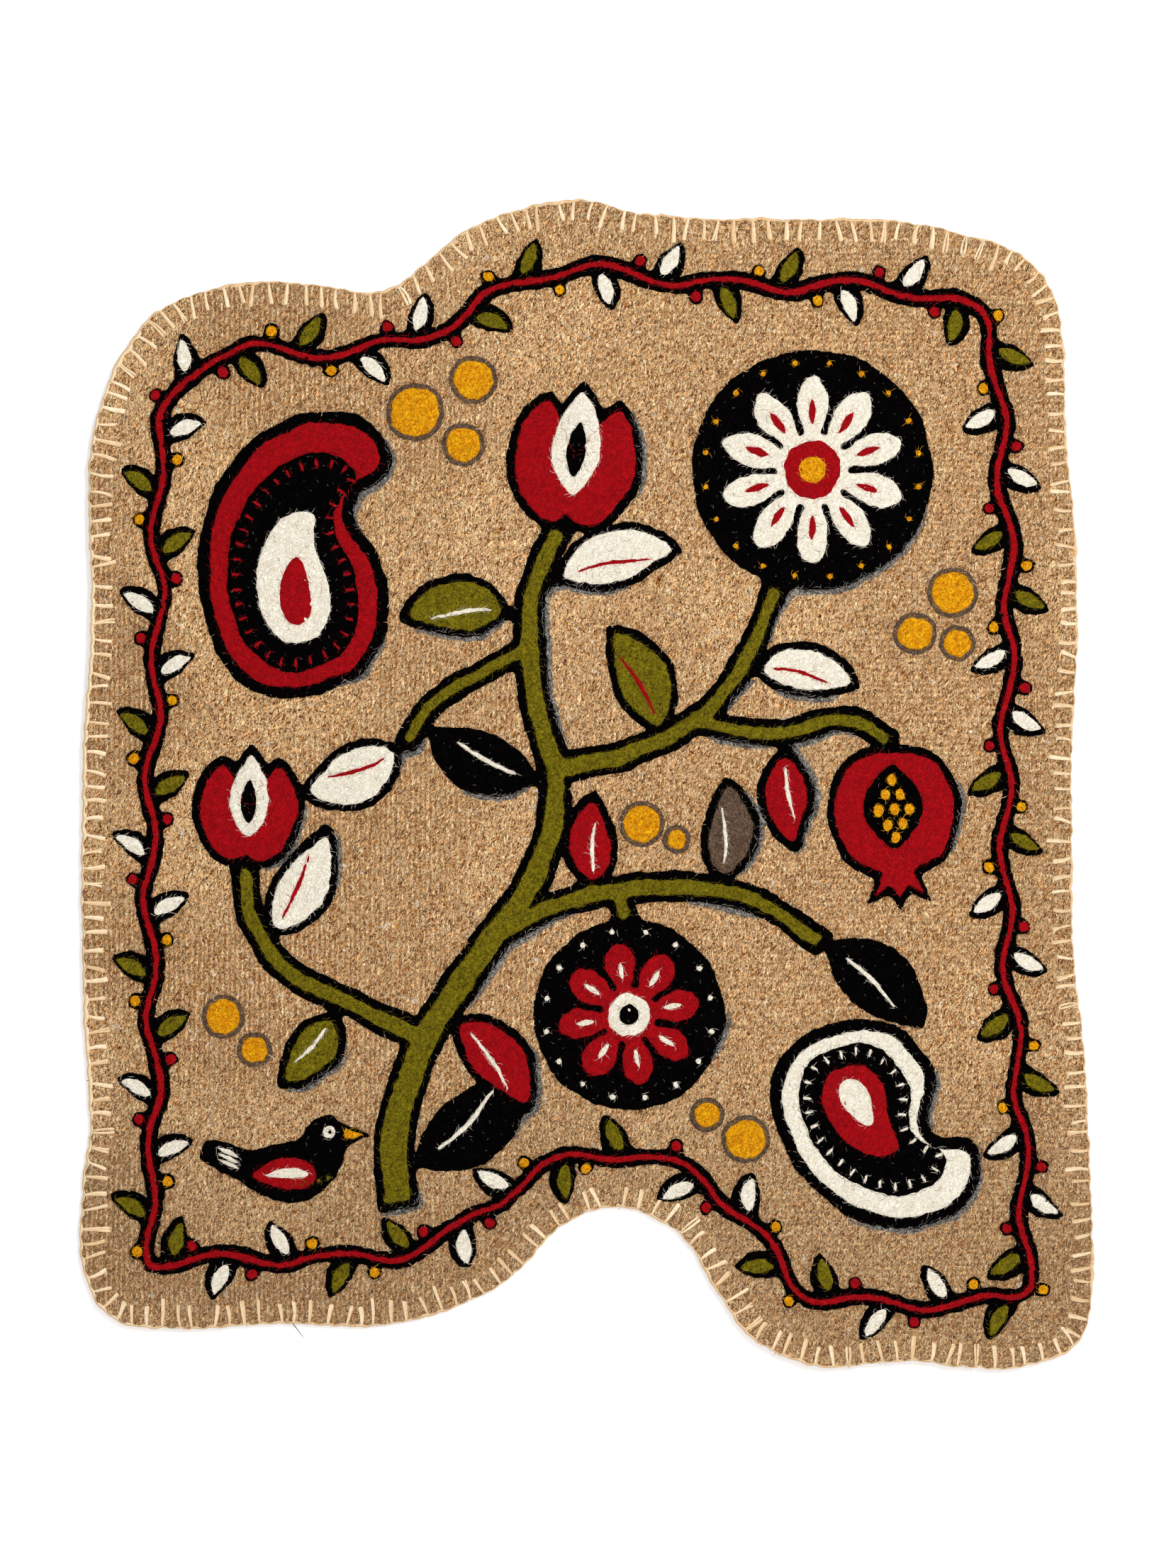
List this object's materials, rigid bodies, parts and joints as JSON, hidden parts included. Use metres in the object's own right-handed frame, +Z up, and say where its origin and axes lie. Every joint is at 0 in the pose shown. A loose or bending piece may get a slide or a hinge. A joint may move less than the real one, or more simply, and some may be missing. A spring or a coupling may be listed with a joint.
{
  "type": "needle felted wall hanging",
  "caption": "Flat felt wall panel with an irregular rounded outline, an arched notch in its bottom edge, and raised folk-style flower, leaf and paisley motifs in dyed wool.",
  "frame": {"origin": "top of the panel, halfway across it, on the plane of the wall that its back lies on", "axes": "+X to the right as seen from the front, +Y into the wall, +Z up; the decorated face looks along -Y"},
  "size_m": [0.8037, 0.0098, 0.9301],
  "materials": {
    "felt": "heathered wool felt, coarse and matt",
    "black": "needled wool, matt",
    "red": "needled wool, matt",
    "olive": "needled wool, matt",
    "white": "needled wool, matt",
    "ochre": "needled wool, matt",
    "brown": "needled wool, matt"
  },
  "bodies": {
    "root": {"bird_body": "black", "bird_wing": "red", "border_vine": "black", "felt_ground": "felt", "great_paisley_black": "black", "great_paisley_body": "black", "great_paisley_core": "white", "great_paisley_rim": "red", "leaf_01_olive": "olive", "leaf_02_white": "white", "leaf_03_red": "red", "leaf_04_olive": "olive", "leaf_05_white": "white", "leaf_06_olive": "olive", "leaf_07_white": "white", "leaf_08_red": "red", "leaf_09_red": "red", "leaf_10_brown": "brown", "leaf_11_white": "white", "left_tulip_heart": "white", "left_tulip_petals": "red", "low_flower_eye": "white", "low_flower_petals": "red", "low_paisley_black": "black", "low_paisley_body": "black", "low_paisley_core": "red", "low_paisley_rim": "white", "ochre_dot_01": "ochre", "ochre_dot_02": "ochre", "ochre_dot_03": "ochre", "ochre_dot_04": "ochre", "ochre_dot_05": "ochre", "ochre_dot_06": "ochre", "ochre_dot_07": "ochre", "ochre_dot_08": "ochre", "ochre_dot_09": "ochre", "ochre_dot_10": "ochre", "ochre_dot_11": "ochre", "ochre_dot_12": "ochre", "pomegranate_skin": "red", "pomegranate_window": "black", "sun_flower_eye": "red", "sun_flower_petals": "white", "top_tulip_heart": "white", "top_tulip_petals": "red", "tree_black": "black", "tree_stems": "olive"}
  },
  "joints": []
}
